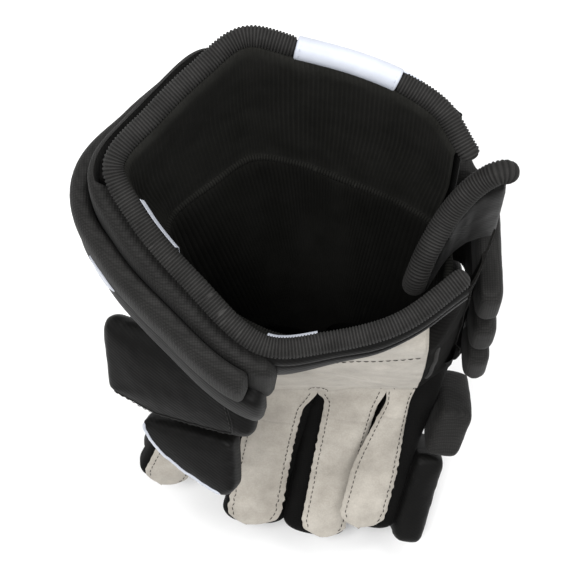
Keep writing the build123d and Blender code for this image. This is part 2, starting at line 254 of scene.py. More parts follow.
# Ribbed lining for the hand compartment. It is made brighter than LINING to stand in for light that the deep hand
# opening does not get, so this is painted fill light.
DEEP_LINING_PAINTED_FILL = material("hand_lining_rib", (0.0055, 0.0055, 0.0048), (0.0090, 0.0089, 0.0080), 0.88, 0.01,
                [("fibre", 0.7, 0.1, 0.3)], 70, 0.05, wear_and_crest_highlight=0.8)
PANEL = material("side_cloth", (0.0050, 0.0048, 0.0045), (0.0085, 0.0082, 0.0078), 0.90, 0.0,
                 [("twill", 0.8, 0.06, 0.2), ("fibre", 7.0, 0.3, 0.1)], 40, 0.02, wear_and_crest_highlight=0.5)
STRETCH = material("stretch_gusset", (0.0030, 0.0029, 0.0028), (0.0055, 0.0053, 0.0051), 0.75, 0.01,
                   [("cells", 0.8, 0.12, 0.4)], 60, 0.06)
LEATHER = material("nash_leather", (0.335, 0.308, 0.268), (0.53, 0.495, 0.44), 0.74, 0.10,
                   [("fibre", 14.0, 0.5, 0.16), ("pores", 0.9, 0.07, 0.06), ("fibre", 0.35, 0.05, 0.05)],
                   48, 0.22, wear_and_crest_highlight=-0.15)
WHITE = material("white_tab", (0.45, 0.475, 0.535), (0.54, 0.565, 0.625), 0.42, 0.0,
                 [("fibre", 0.5, 0.02, 0.0), ("fibre", 9.0, 0.1, 0.0)], 50, 0.35)
THREAD = material("dark_thread", (0.020, 0.018, 0.016), (0.045, 0.042, 0.038), 0.7, 0.05,
                  [("twill", 0.4, 0.05, 0.2)], 400, 0.15)
LOCK = material("overlock_thread", (0.018, 0.0175, 0.017), (0.040, 0.039, 0.037), 0.75, 0.05,
                [("fibre", 0.5, 0.05, 0.2)], 500, 0.12)
PLASTIC = material("moulded_insert", (0.010, 0.010, 0.0105), (0.018, 0.018, 0.019), 0.42, 0.0,
                   [("fibre", 0.6, 0.03, 0.05)], 30, 0.3)


# ---- mesh makers -----------------------------------------------------------------------
def make(name, verts, faces, mat, smooth=True):
    me = bpy.data.meshes.new(name)
    me.from_pydata((np.asarray(verts, float) * MM).tolist(), [], [list(map(int, f)) for f in faces])
    me.validate()
    me.materials.append(mat)
    if smooth:
        me.shade_smooth()
    o = bpy.data.objects.new(name, me)
    scene.collection.objects.link(o)
    return o


def grid_faces(nu, nv, wrap_u=False, wrap_v=False, flip=False):
    u = np.arange(nu if wrap_u else nu - 1)
    v = np.arange(nv if wrap_v else nv - 1)
    a, b = np.meshgrid(u, v, indexing="ij")
    a2, b2 = (a + 1) % nu, (b + 1) % nv
    f = np.stack([a * nv + b, a2 * nv + b, a2 * nv + b2, a * nv + b2], -1).reshape(-1, 4)
    return f[:, ::-1] if flip else f


def surface(name, grid, mat, wrap_u=False, wrap_v=False, flip=False):
    grid = np.asarray(grid)
    faces = grid_faces(grid.shape[0], grid.shape[1], wrap_u, wrap_v, flip)
    return make(name, grid.reshape(-1, 3), faces, mat)


def apply_all(o):
    dg = bpy.context.evaluated_depsgraph_get()
    me = bpy.data.meshes.new_from_object(o.evaluated_get(dg))
    old = o.data
    o.modifiers.clear()
    o.data = me
    bpy.data.meshes.remove(old)
    return o


def thicken(o, thick, offset=-1.0):
    s = o.modifiers.new("thick", "SOLIDIFY")
    s.thickness = thick * MM
    s.offset = offset
    s.use_even_offset = False
    apply_all(o)
    o.data.set_sharp_from_angle(angle=math.radians(55))
    return o


def tube(name, path, radius, mat, around=8, step=1.0, taper=0.0, up=(0, 0, 1), flat=1.0,
         pitch=0.0, depth=0.0, closed=False, per=5):
    """Tube along a Path. pitch and depth give it knitted ribs across its length."""
    if pitch:
        count = int(round(path.long / pitch)) * per
    else:
        count = max(int(path.long / step), 3)
    s = np.linspace(0, path.long, count, endpoint=not closed)
    p = path.at(s)
    if closed:
        t = unit(np.roll(p, -1, 0) - np.roll(p, 1, 0))
    else:
        t = unit(np.gradient(p, axis=0))
    side = unit(np.cross(t, arr(*up)))
    top = np.cross(side, t)
    a = np.linspace(0, 2 * np.pi, around, endpoint=False)
    r = np.full(count, float(radius))
    if pitch:
        phase = s / path.long * round(path.long / pitch)
        r = r + depth * (np.abs(np.sin(np.pi * phase)) ** 0.8 - 0.7)
    if taper and not closed:
        end = np.minimum(s, path.long - s)
        r = r * np.sqrt(np.clip(1 - (1 - np.clip(end / taper, 0, 1)) ** 2, 0.0004, 1))
    g = p[:, None] + side[:, None] * (r[:, None] * np.cos(a))[..., None] + top[:, None] * (
        r[:, None] * flat * np.sin(a))[..., None]
    return surface(name, g, mat, wrap_u=closed, wrap_v=True)


def dashes(name, path, normal, mat, dash=2.3, space=1.0, radius=0.3, sink=0.0):
    """Sewn stitches lying along a Path. normal is one vector or one per sample of 400."""
    count = max(int(path.long / (dash + space)), 1)
    verts, faces = [], []
    fixed = np.ndim(normal) == 1
    for i in range(count):
        a = (i + 0.12) * path.long / count
        b = a + dash * path.long / count / (dash + space)
        s = np.linspace(a, b, 6)
        p = path.at(s)
        last = 0 if fixed else len(normal) - 1
        nrm = unit(normal if fixed else normal[min(int(a / path.long * last), last)])
        arch = np.sin(np.linspace(0, np.pi, 6)) ** 0.6
        p = p + nrm * (arch * radius * 0.9 - sink)[:, None]
        t = unit(p[-1] - p[0])
        side = unit(np.cross(t, nrm))
        r = radius * np.array([0.25, 0.85, 1, 1, 0.85, 0.25])
        base = len(verts)
        for k in range(6):
            for q in range(6):
                g = q / 6 * 2 * np.pi
                verts.append(p[k] + side * r[k] * math.cos(g) + nrm * r[k] * 0.8 * math.sin(g))
        for k in range(5):
            for q in range(6):
                faces.append((base + k * 6 + q, base + k * 6 + (q + 1) % 6,
                              base + (k + 1) * 6 + (q + 1) % 6, base + (k + 1) * 6 + q))
    return make(name, verts, faces, mat)


def zigzag(name, path, side, up, mat, width=1.6, pitch=2.2, radius=0.22):
    """Overlock thread that runs to and fro across a line."""
    count = int(path.long / pitch * 2)
    s = np.linspace(0, path.long, count)
    p = path.at(s)
    sign = np.where(np.arange(count) % 2 == 0, 1.0, -1.0)[:, None]
    p = p + side(s) * sign * width / 2 + up(s) * 0.15
    return tube(name, Path(p), radius, mat, around=5, step=0.9)


def puff(node, name, mat, body, voxel=3.0, shrink=1.3, cap=3.2, pressure=4.0, frames=14,
         relax=3, shape=None, ripple=0.35, extra=()):
    """Padded piece grown from a CAD solid: remesh, blow up with Cloth, cap the swell, relax, subdivide."""
    me = frame["nodes"][node].data.copy()
    me.name = name
    o = bpy.data.objects.new(name, me)
    scene.collection.objects.link(o)
    r = o.modifiers.new("remesh", "REMESH")
    r.mode = "VOXEL"
    r.voxel_size = voxel * MM
    apply_all(o)
    me = o.data
    n = len(me.vertices)
    co, no = np.zeros(n * 3), np.zeros(n * 3)
    me.vertices.foreach_get("co", co)
    me.vertices.foreach_get("normal", no)
    start = co.reshape(-1, 3) - no.reshape(-1, 3) * shrink * MM
    if shape is not None:
        start = shape(start / MM) * MM
    me.vertices.foreach_set("co", start.ravel())
    me.update()
    c = o.modifiers.new("cloth", "CLOTH")
    c.settings.quality = 4
    c.settings.mass = 0.3
    c.settings.tension_stiffness = 12
    c.settings.compression_stiffness = 12
    c.settings.bending_stiffness = 0.6
    c.settings.use_pressure = True
    c.settings.uniform_pressure_force = pressure
    c.settings.effector_weights.gravity = 0
    c.collision_settings.use_self_collision = False
    c.collision_settings.use_collision = False
    c.point_cache.frame_start, c.point_cache.frame_end = 1, frames
    for f in range(1, frames + 1):
        scene.frame_set(f)
    apply_all(o)
    scene.frame_set(1)
    me = o.data
    now = np.zeros(n * 3)
    me.vertices.foreach_get("co", now)
    now = now.reshape(-1, 3)
    if not np.isfinite(now).all():
        now = start
    move = now - start
    far = np.linalg.norm(move, axis=1, keepdims=True)
    move *= np.minimum(1, cap * MM / np.maximum(far, 1e-9))
    me.vertices.foreach_set("co", (start + move).ravel())
    me.update()
    k = o.modifiers.new("relax", "SMOOTH")
    k.factor, k.iterations = 0.5, relax
    d = o.modifiers.new("fine", "SUBSURF")
    d.levels = d.render_levels = 1
    apply_all(o)
    me = o.data
    if ripple:
        n = len(me.vertices)
        co, no = np.zeros(n * 3), np.zeros(n * 3)
        me.vertices.foreach_get("co", co)
        me.vertices.foreach_get("normal", no)
        co, no = co.reshape(-1, 3), no.reshape(-1, 3)
        lift = np.array([noise.noise(Vector(p) * 70) for p in co])
        lift += 0.5 * np.array([noise.noise(Vector(p) * 190) for p in co])
        me.vertices.foreach_set("co", (co + no * (lift * ripple * MM)[:, None]).ravel())
    me.materials.clear()
    me.materials.append(mat)
    me.shade_smooth()
    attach(o, body)
    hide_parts(node, *extra)
    return o


def drape_on(o, points, lift=0.3):
    """Points pulled onto a piece's surface, with the outward normals there."""
    bpy.context.view_layer.update()
    spots, normals = [], []
    for p in points:
        _, where, nrm, _ = o.closest_point_on_mesh(Vector(np.asarray(p) * MM))
        nrm = np.array(nrm)
        spots.append(np.array(where) / MM + nrm * lift)
        normals.append(nrm)
    return np.array(spots), np.array(normals)


def seam_on(name, o, points, body, thread=LOCK, cord=0.55, cord_mat=NYLON, gap=1.6, closed=False):
    """A raised sewn seam with stitches beside it, laid on a padded piece."""
    line = curve(points, closed, 16)
    spots, normals = drape_on(o, line, 0.0)
    path = Path(spots)
    made = [tube(name + "_fold", path, cord, cord_mat, around=6, step=1.2, flat=0.7)]
    shift = unit(np.cross(unit(np.gradient(spots, axis=0)), normals)) * gap
    beside, nrm = drape_on(o, spots + shift, 0.12)
    made.append(dashes(name + "_stitch", Path(beside), nrm, thread, 1.9, 0.9, 0.2))
    for m in made:
        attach(m, body)
    return made


def cloth_sheet(o):
    """Returns the sheet unchanged."""
    return o


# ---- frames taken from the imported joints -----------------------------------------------
joints = {j["name"]: j for j in frame["joints"]}


def at(name):
    return np.array(joints[name]["pos_m"]) / MM


def verts_of(node):
    me = frame["nodes"][node].data
    co = np.zeros(len(me.vertices) * 3)
    me.vertices.foreach_get("co", co)
    return co.reshape(-1, 3) / MM


class Digit:
    """Frames of one finger: x across, y to the pad, -z to the tip, from its two joints."""

    def __init__(self, name, first, second):
        self.name = name
        self.k, self.j = at(first), at(second)
        self.x = -unit(joints[first]["axis"])
        self.z1 = unit(self.k - self.j)
        self.y1 = np.cross(self.z1, self.x)
        tip = verts_of(name + "_tip_leather")
        z = unit(self.j - tip.mean(0))
        for _ in range(3):
            y = np.cross(z, self.x)
            z = unit(self.j - (tip.mean(0) - y))
        self.z2, self.y2 = z, np.cross(z, self.x)
        self.l1 = float(np.linalg.norm(self.k - self.j))
        self.l2 = float(-((tip - self.j) @ self.z2).min())
        self.e = self.j - self.z2 * (self.l2 + {"ring": 4.0, "pinky": 3.5}.get(name, 0.5))


digits = {n: Digit(n, n + "_knuckle_curl", n + "_tip_curl") for n in ("index", "middle", "ring", "pinky")}
thumb = Digit("thumb", "thumb_base_swing", "thumb_tip_curl")

# ---- camera, lights, floor --------------------------------------------------------------
elev = math.radians(68.0)
aim = Vector((-0.0049, -0.0146, -0.0059))
back = Vector((0, -math.cos(elev), math.sin(elev)))
cam_data = bpy.data.cameras.new("camera")
cam_data.sensor_width = 36
cam_data.lens = 36 * 1850 / 575
cam = bpy.data.objects.new("camera", cam_data)
cam.location = aim + back * 0.780
cam.rotation_mode = "QUATERNION"
cam.rotation_quaternion = (-back).to_track_quat("-Z", "Y")
cam_data.clip_start, cam_data.clip_end = 0.01, 50
scene.collection.objects.link(cam)
scene.camera = cam


def lamp(name, place, size, power, target=(0, 0, -0.03), tint=(1, 1, 1)):
    d = bpy.data.lights.new(name, "AREA")
    d.shape = "DISK"
    d.size = size
    d.energy = power
    d.color = tint
    o = bpy.data.objects.new(name, d)
    o.location = place
    o.rotation_mode = "QUATERNION"
    o.rotation_quaternion = (Vector(place) - Vector(target)).to_track_quat("Z", "Y")
    scene.collection.objects.link(o)


lamp("key", (-0.40, -0.70, 1.6), 0.8, 24)
lamp("top", (0.45, 0.45, 1.7), 1.0, 16)
lamp("fill", (1.05, -0.35, 1.05), 0.9, 7)
lamp("rim", (-1.1, 0.7, 0.6), 0.8, 6)
world = bpy.data.worlds.new("studio")
world.use_nodes = True
world.node_tree.nodes["Background"].inputs["Color"].default_value = (1, 1, 1, 1)
world.node_tree.nodes["Background"].inputs["Strength"].default_value = 0.55
scene.world = world
scene.view_settings.view_transform = "Standard"

floor_z = cad_low.z - 0.0015
FLOOR_HALF = 4000
pale = material("pale_floor", (0.86, 0.86, 0.86), (0.90, 0.90, 0.90), 0.85, 0.0,
                [("fibre", 3.0, 0.05, 0.0)], 6, 0.2)
corners = [(FLOOR_HALF * a, FLOOR_HALF * b, 0) for a, b in ((-1, -1), (1, -1), (1, 1), (-1, 1))]
floor = make("floor", corners, [(0, 1, 2, 3)], pale)
floor.location.z = floor_z

# ---- rim line, as in the solids ----------------------------------------------------------
RIM = [(65, 15), (56, 28), (42, 37), (24, 44), (0, 50), (-22, 54), (-40, 42), (-57, 27), (-73, 9),
       (-64, -9), (-44, -31), (-15, -55), (12, -54), (40, -47), (66, -30)]
SLOPE = math.tan(math.radians(25))
rim_plan = Path(np.c_[curve([(x, y, 0) for x, y in RIM])])
RIM_LONG = rim_plan.long


def rim_at(share, out=0.0, rise=0.0, level=None):
    """Point on the cuff: share along the rim, out from it, rise over the slanted rim plane."""
    share = np.asarray(share, float)
    s = share * RIM_LONG
    p = rim_plan.at(s)
    t = rim_plan.along(np.clip(s, 1, RIM_LONG - 1))
    o = np.stack([t[..., 1], -t[..., 0], np.zeros_like(s)], -1)
    q = p + o * np.asarray(out, float)[..., None]
    base = 60 + p[..., 1] * SLOPE + np.asarray(rise, float)
    q[..., 2] = base if level is None else np.where(np.isnan(level), base, level)
    return q


def rim_out(share):
    t = rim_plan.along(np.clip(np.asarray(share) * RIM_LONG, 1, RIM_LONG - 1))
    return np.stack([t[..., 1], -t[..., 0], np.zeros(np.shape(share))], -1)


# ---- cuff binding and white tab ----------------------------------------------------------
UP = (0, -math.sin(math.radians(25)), math.cos(math.radians(25)))
TAB0, TAB1 = 0.104, 0.229
for tag, a, b in (("short", 0.0, TAB0 + 0.004), ("long", TAB1 - 0.004, 1.0)):
    share = np.linspace(a, b, 400)
    line = rim_at(share) + np.array(UP) * (0.25 * wobble(share * 400, 55, 3))[:, None]
    if tag == "short":
        ahead = unit(line[0] - line[6])
        line = np.vstack([line[0] + ahead * 5.2 + arr(0, 0, -0.6), line[0] + ahead * 2.6, line])
    o = tube("cuff_binding_" + tag, Path(line), 4.15, KNIT, around=18, up=UP, flat=0.97, pitch=1.3, depth=0.75,
             taper=3.5)
    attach(o, "cuff")
    if tag == "long":
        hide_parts("cuff_rim_binding")
    s2 = np.linspace(max(a, 0.008), min(b, 0.992), 400)
    edge = Path(rim_at(s2, 3.2, -2.9))
    grow = np.array(UP)
    z = zigzag("overlock_" + tag, edge, lambda s: np.tile(grow, (len(s), 1)),
               lambda s, a=s2: rim_out(np.interp(s, np.linspace(0, edge.long, 400), a)), LOCK, 1.5, 2.0, 0.2)
    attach(z, "cuff")
share = np.linspace(TAB0, TAB1, 120)
o = tube("white_rim_tab", Path(rim_at(share, 0, 0.1)), 4.75, WHITE, around=28, step=0.6, taper=0.9, up=UP,
         flat=0.95)
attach(o, "cuff")
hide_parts("cuff_rim_tab")
g = []
for q in np.linspace(0, 1, 8):
    g.append(rim_at(np.linspace(TAB0 - 0.022, TAB1 - 0.01, 60), 3.4 + 1.9 * math.sin(q * 2.4), 3.2 - 9 * q))
o = thicken(surface("white_tab_back", np.array(g), WHITE), 0.7)
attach(o, "cuff")
for tag, sh in (("a", TAB0 + 0.006), ("b", TAB1 - 0.006)):
    a = np.linspace(0.2, 2 * np.pi, 40)
    c = rim_at(np.array([sh]), 0, 0.1)[0]
    ring = c + np.outer(np.cos(a) * 4.85, rim_out(sh)) + np.outer(np.sin(a) * 4.6, UP)
    o = dashes("tab_stitch_" + tag, Path(ring), np.array(UP), WHITE, 1.6, 0.9, 0.18)
    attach(o, "cuff")

# ---- opening outlines as distance by direction -------------------------------------------
WRIST = [(58, 12), (43, 24), (22, 34), (0, 43), (-21, 46), (-38, 34), (-57, 14), (-52, -8), (-34, -27),
         (-8, -41), (24, -42), (54, -34), (63, -10)]
KNUCKLE = [(66, -4), (50, 0), (26, 1), (2, 1), (-20, 1), (-36, 0), (-50, -5), (-52, -15), (-40, -23),
           (-12, -23.5), (20, -23.5), (56, -23), (69, -14)]


def polar(outline, middle, closed=True):
    p = curve([(x, y, 0) for x, y in outline], closed)[:, :2] - middle
    a, r = np.arctan2(p[:, 1], p[:, 0]), np.hypot(p[:, 0], p[:, 1])
    k = np.argsort(a)
    a, r = a[k], r[k]
    return lambda q: np.interp((np.asarray(q) + np.pi) % (2 * np.pi) - np.pi,
                               np.r_[a - 2 * np.pi, a, a + 2 * np.pi], np.r_[r, r, r])


MID_W, MID_K = arr(4, 0), arr(8, -11)
wrist_r = polar(WRIST, MID_W)
knuckle_r = polar(KNUCKLE, MID_K)


def hand_at(angle, level, grow):
    """Point on the hand tube at a height, grown outwards; angles are seen from the middle."""
    f = np.clip((6 - np.asarray(level, float)) / 118, 0, 1)
    w = MID_W + np.stack([np.cos(angle), np.sin(angle)], -1) * (wrist_r(angle) + grow)[..., None]
    k = MID_K + np.stack([np.cos(angle), np.sin(angle)], -1) * (knuckle_r(angle) + grow)[..., None]
    q = w * (1 - f)[..., None] + k * f[..., None]
    return np.concatenate([q, np.asarray(level, float)[..., None]], -1)


# ---- cuff lining ---------------------------------------------------------------------------
cols = int(RIM_LONG / 2.0) * 6
share = np.linspace(0.004, 0.996, cols)
rib = np.abs(np.sin(np.pi * share * RIM_LONG / 2.0)) ** 0.7 * 0.6
rows = []
top = rim_at(share, -3.3, -2.0)
inner = rim_at(share, -3.9)
angle = np.arctan2(inner[:, 1] - MID_W[1], inner[:, 0] - MID_W[0])
low = hand_at(angle, np.full(cols, 1.0), np.full(cols, 0.9))
for v in np.linspace(0, 1, 22):
    k = ease((v - 0.45) / 0.55)
    p = inner * (1 - k) + low * k
    p[:, 2] = top[:, 2] * (1 - v) + 1.2 * v
    p[:, :2] -= rim_out(share)[:, :2] * (rib + 0.7 * wobble(share * 400, 90, 5) * math.sin(v * 3.1))[:, None]
    rows.append(p)
rows[0] = top
lining = thicken(surface("cuff_lining_cloth", np.array(rows), LINING, flip=True), 1.0, 1.0)
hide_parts("cuff_lining")
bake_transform(lining)
cloth_sheet(lining)

a = np.linspace(0, 2 * np.pi, 300, endpoint=False)
ring = np.vstack([hand_at(a, np.full(300, 0.4), np.full(300, -0.4))])
o = tube("mouth_binding", Path(np.vstack([ring, ring[:1]])), 1.9, LINING, around=12, pitch=1.3, depth=0.35,
         closed=True)
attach(o, "hand")
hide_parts("wrist_mouth_binding")

# ---- hand compartment: inner lining and outer skin --------------------------------------------
def in_thumb_room(p, wide=17.0):
    d = p - thumb.k
    return (np.abs(d @ thumb.x) < wide) & (d @ thumb.y1 > -2.5) & (d @ thumb.z1 < 26) & (d @ thumb.z1 > -60)


def hand_skin(name, grow, top_z, mat, ribs=0.0, flip=False, thick=0.8):
    n = int(350 / 2.1) * 5 if ribs else 240
    a = np.linspace(0, 2 * np.pi, n, endpoint=False)
    rows = []
    for v in np.linspace(0, 1, 34):
        y = -24.0 + 46 * np.clip(np.sin(a), 0, 1)
        bottom = -101.0 - np.clip(y + 24, 0, 30) * 0.42
        z = top_z * (1 - v) + bottom * v
        r = np.abs(np.sin(np.pi * np.arange(n) / 5)) ** 0.7 * ribs if ribs else 0
        rows.append(hand_at(a, z, grow - r + 0.5 * wobble(a * 50 + v * 40, 40, 8)))
    g = np.array(rows)
    f = grid_faces(g.shape[0], g.shape[1], wrap_v=True, flip=flip)
    v = g.reshape(-1, 3)
    keep = ~in_thumb_room(v[f].mean(1))
    used, index = np.unique(f[keep], return_inverse=True)
    return thicken(make(name, v[used], index.reshape(-1, 4), mat), thick, 0)


# The hand lining uses the brightened lining colour, which is painted fill light in the deep compartment.
inner_cloth = hand_skin("hand_lining_cloth", -1.2, -0.8, DEEP_LINING_PAINTED_FILL, 0.45, flip=True)
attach(inner_cloth, "hand")
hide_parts("hand_lining")
cloth_sheet(inner_cloth)
skin = hand_skin("hand_skin", 0.2, 2.0, PANEL)
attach(skin, "hand")
cloth_sheet(skin)

# ---- palm leather ------------------------------------------------------------------------------
order = ["index", "middle", "ring", "pinky"]
kx = np.array([digits[n].k[0] for n in order])
mids = np.r_[kx[0] - 14.5, (kx[1:] + kx[:-1]) / 2, kx[-1] - 1.5]
KZ = digits["ring"].k[2]


def palm_y(x, z):
    """Front of the palm leather."""
    flat = -45.9 - 0.1727 * z
    knuckle = np.interp(x, kx, [digits[n].k[1] for n in order]) - 1.2
    k = ease((z + 84) / -22)
    y = flat * (1 - k) + knuckle * k - 1.5 * np.exp(-((x - 14) / 8) ** 2) * k
    k = ease((z - 4) / 18)
    y = y * (1 - k) + (np.interp(x, [-44, -15, 12, 40, 66], [-31, -55, -54, -47, -30]) - 1.8) * k
    f = np.clip((z - KZ) / 105, 0, 1)
    y = y - 2.2 * np.sin(np.pi * f) * np.exp(-((x - 46) / 20) ** 2)
    y = y + 0.3 * np.sin(np.pi * f) * np.exp(-((x - 12) / 22) ** 2)
    return y - 0.35 * wobble(x * 0.8 + z, 24, 11) * np.sin(np.pi * f) ** 0.5


LEFT_Z = [-106, -96, -84, -74, -64, -52, -38, -24, -8, 10]
LEFT_X = [mids[0], mids[0] + 1, -47, -38, -28, -23, -21, -20, -19, -18]
T1 = np.linspace(0, 1, 150)
rows = []
for v in np.linspace(0, 1, 100):
    right = 52.0 + 1.5 * math.sin(v * 2.6) + 1.0 * v
    z = 9 * (1 - v) + KZ * v
    left = sum(np.interp(z + w, LEFT_Z, LEFT_X) for w in (-5, -2.5, 0, 2.5, 5)) / 5
    left = left + (mids[0] - left) * ease((v - 0.93) / 0.07)
    x = left + (right - left) * T1
    z = (16.5 + 0.25 * x) * (1 - v) + KZ * v
    rows.append(np.stack([x, palm_y(x, z), z], -1))
palm = thicken(surface("palm_sheet", np.array(rows), LEATHER), 1.1)
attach(palm, "hand")
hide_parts("palm_leather")
cloth_sheet(palm)

# overlay at the heel of the palm, with its stitched lower seam
rows = []
for v in np.linspace(0, 1, 26):
    x = np.linspace(-14, 51.6, 90)
    low_z = -27.5 + (x + 8) * 0.34
    z = (15.5 + 0.25 * x) * (1 - v) + low_z * v
    rows.append(np.stack([x, palm_y(x, z) - 0.75 - 0.25 * math.sin(v * 3.14), z], -1))
patch = thicken(surface("palm_overlay", np.array(rows), LEATHER), 0.9)
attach(patch, "hand")
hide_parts("palm_patch")
cloth_sheet(patch)
x = np.linspace(-13, 51, 120)
z = -27.5 + (x + 8) * 0.34 + 1.6
PALM_OUT = arr(0, -1, -0.15)
o = dashes("overlay_seam", Path(np.stack([x, palm_y(x, z) - 1.0, z], -1)), PALM_OUT, THREAD, 2.2, 0.9, 0.27)
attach(o, "hand")


# stitch loops over the tops of the two open finger slots: gap number and half the loop's width
for i, half in ((2, 4.6), (3, 3.4)):
    turn = np.linspace(0.06, 0.94, 60) * np.pi
    x, z = mids[i] - half * np.cos(turn), KZ - 1.0 + (half + 5.0) * np.sin(turn)
    loop = Path(np.stack([x, palm_y(x, z) - 0.35, z], -1))
    o = dashes(f"slot_loop_{i}", loop, PALM_OUT, THREAD, 1.9, 0.8, 0.2)
    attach(o, "hand")


# ---- fingers -----------------------------------------------------------------------------------
def digit_line(d):
    """Line along the palm face of a finger, from above the knuckle to the tip."""
    up = unit(arr(0, -0.17, 0.985)) if d.name != "thumb" else d.z1
    p = [d.k + up * 24, d.k + up * 8, d.k - d.z1 * (d.l1 * 0.32), d.k - d.z1 * (d.l1 * 0.72),
         d.j - d.z2 * (d.l2 * 0.22), d.j - d.z2 * (d.l2 * 0.6), d.e]
    path = Path(curve(p))
    path.zero = path.s[np.argmin(np.linalg.norm(path.p - (d.k + up * 0.0), axis=1))]
    path.mid = path.s[np.argmin(np.linalg.norm(path.p - (d.k - d.z1 * d.l1 * 0.52), axis=1))]
    return path


def finger_leather(d, half_left, half_right, tip_half, start_x=None, drift=0.0, over=0.0):
    """Two leather sheets, split in the middle of the first segment, and their stitch lines."""
    path = digit_line(d)
    zero, long = path.zero, path.long

    def place(s, t, lift=0.0):
        s, t = np.asarray(s, float), np.asarray(t, float)
        c, a = path.at(s), path.along(np.clip(s, 1, long - 1))
        x = np.broadcast_to(d.x, c.shape)
        n = unit(np.cross(a, x))
        q = (s - zero) / (long - zero)
        full_l, full_r = half_left(s - zero), half_right(s - zero)
        narrow = 1 + (tip_half / 11.6 - 1) * ease(q * 1.2)
        near_tip = np.clip((long - s) / 9.5, 0, 1)
        close = (1 - (1 - near_tip) ** 2.6) ** 0.5
        w = np.where(t < 0, full_l, full_r) * narrow * close
        w = w * (1 + 0.026 * wobble(s + 50 * (t > 0), 4.5, 21 + len(d.name)) * ease(q * 2))
        puckers = 0.45 * wobble(s + 31 * (t > 0), 4.0, 9 + len(d.name)) * np.abs(t) ** 6 * ease(q * 2)
        bulge = 1.5 * (1 - np.abs(t) ** 2.4) * ease(q * 4) * (0.4 + 0.6 * near_tip)
        crease = 0.25 * wobble(s, 9, 4 + len(d.name)) * (1 - t * t) + 0.2 * wobble(s * 0.6 + t * 14, 13, 6)
        p = c + x * (t * w)[..., None] + n * (0.2 + bulge + puckers + crease * ease(q * 4) + lift
                                            - 0.9 * np.abs(t) ** 7)[..., None]
        aside = drift * (1 - 0.15 * np.clip(q, 0, 1))
        p = p + d.x * aside[..., None] + n * (over * ease(q * 1.5) * (0.5 - 0.5 * t))[..., None]
        if start_x is not None:
            k = ease((s - zero) / 13)
            sx = start_x[0] + (start_x[1] - start_x[0]) * (t + 1) / 2
            flat = np.stack([sx, palm_y(sx, np.full_like(sx, KZ)) - lift, np.full_like(sx, KZ)], -1)
            flat = flat + (c - path.at(zero + 0 * s)) * 1.0
            p = flat * (1 - k)[..., None] + p * k[..., None]
        return p, n

    made = []
    T = np.sin(np.linspace(-1, 1, 29) * np.pi / 2)
    for tag, s0, s1 in (("a", zero, path.mid), ("b", path.mid, long - 0.02)):
        s = np.linspace(s0, s1, 46)
        if tag == "b":
            s = s1 - (s1 - s0) * (1 - np.linspace(0, 1, 60)) ** 1.25
        S, TT = np.meshgrid(s, T, indexing="ij")
        o = thicken(surface(f"{d.name}_leather_{tag}", place(S, TT)[0], LEATHER), 1.0)
        if tag == "a":
            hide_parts(d.name + "_base_leather")
            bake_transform(o)
        else:
            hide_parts(d.name + "_tip_leather")
            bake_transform(o)
        cloth_sheet(o)
        made.append(o)
    for side, sign in (("left", -1), ("right", 1)):
        for tag, s0, s1 in (("a", zero + 2, path.mid), ("b", path.mid, long - 4.2)):
            s = np.linspace(s0, s1, 200)
            q = np.clip((long - s) / 9, 0, 1)
            inset = sign * (1 - 0.2 - 0.12 * (1 - q))
            p, n = place(s, np.full_like(s, inset), 0.12)
            o = dashes(f"{d.name}_stitch_{side}_{tag}", Path(p), n, THREAD, 1.9, 0.8, 0.2)
            if tag == "a":
                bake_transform(o)
            else:
                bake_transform(o)
    return made


def finger_tube(d, half, tip_half, deep=9.0, root_left=0.0, root_right=0.0, root=18.0, middle=9.4,
                sunk=3.5, wide=(0.0, 0.0)):
    """Stretch fabric stall under the leather, closed at the tip, in two pieces."""
    path = digit_line(d)
    zero, long = path.zero, path.long
    A = np.linspace(0, 2 * np.pi, 44, endpoint=False)
    for tag, s0, s1 in (("a", zero - root, path.mid + 0.6), ("b", path.mid - 0.6, long + 4.0)):
        s = np.linspace(s0, s1, 50)
        if tag == "b":
            s = s1 - (s1 - s0) * (1 - np.linspace(0, 1, 60)) ** 1.4
        S, AA = np.meshgrid(s, A, indexing="ij")
        past = np.clip(S - long, 0, 9)
        c = path.at(np.clip(S, 0, long)) + path.along(np.full_like(S, long - 1)) * past[..., None]
        a = path.along(np.clip(S, 1, long - 1))
        x = np.broadcast_to(d.x, c.shape)
        n = unit(np.cross(a, x))
        q = np.clip((S - zero) / (long - zero), 0, 1)
        w = half + (tip_half - half) * ease(q * 1.2)
        flare = 1 - ease((S - zero + root) / (root + 9))
        w = w + np.where(np.cos(AA) < 0, root_left, root_right) * flare
        spread = ease((S - zero + 2) / 12)
        w = w + np.where(np.cos(AA) < 0, wide[0], wide[1]) * spread * (1 + 0.0018 * (S - zero))
        sink = middle + sunk * flare
        near = np.clip((s1 - S) / 8.0, 0, 1) if tag == "b" else np.ones_like(S)
        close = (1 - (1 - near) ** 2.4) ** 0.5
        ce, se = np.cos(AA), np.sin(AA)
        sq = (np.abs(ce) ** 3.2 + np.abs(se) ** 3.2) ** (-1 / 3.2)
        wave = 1 + 0.02 * wobble(S * 0.7 + AA * 5, 11, 13 + len(d.name))
        p = c + x * (ce * sq * w * wave * close)[..., None]
        p = p - n * (sink + se * sq * deep * wave * close)[..., None]
        o = surface(f"{d.name}_gusset_{tag}", p, STRETCH, wrap_v=True, flip=True)
        if tag == "a":
            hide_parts(d.name + "_base_gusset")
            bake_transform(o)
        else:
            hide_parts(d.name + "_tip_gusset")
            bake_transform(o)


def slot_edge(full, slot, after=0.0):
    """Half-width beside a finger slot with a round top."""
    def width(s):
        k = 1 - np.exp(-(np.clip(s, 0, 200) / 5.5) ** 0.7)
        return full - slot * k + after * np.clip(s / 70, 0, 1)
    return width


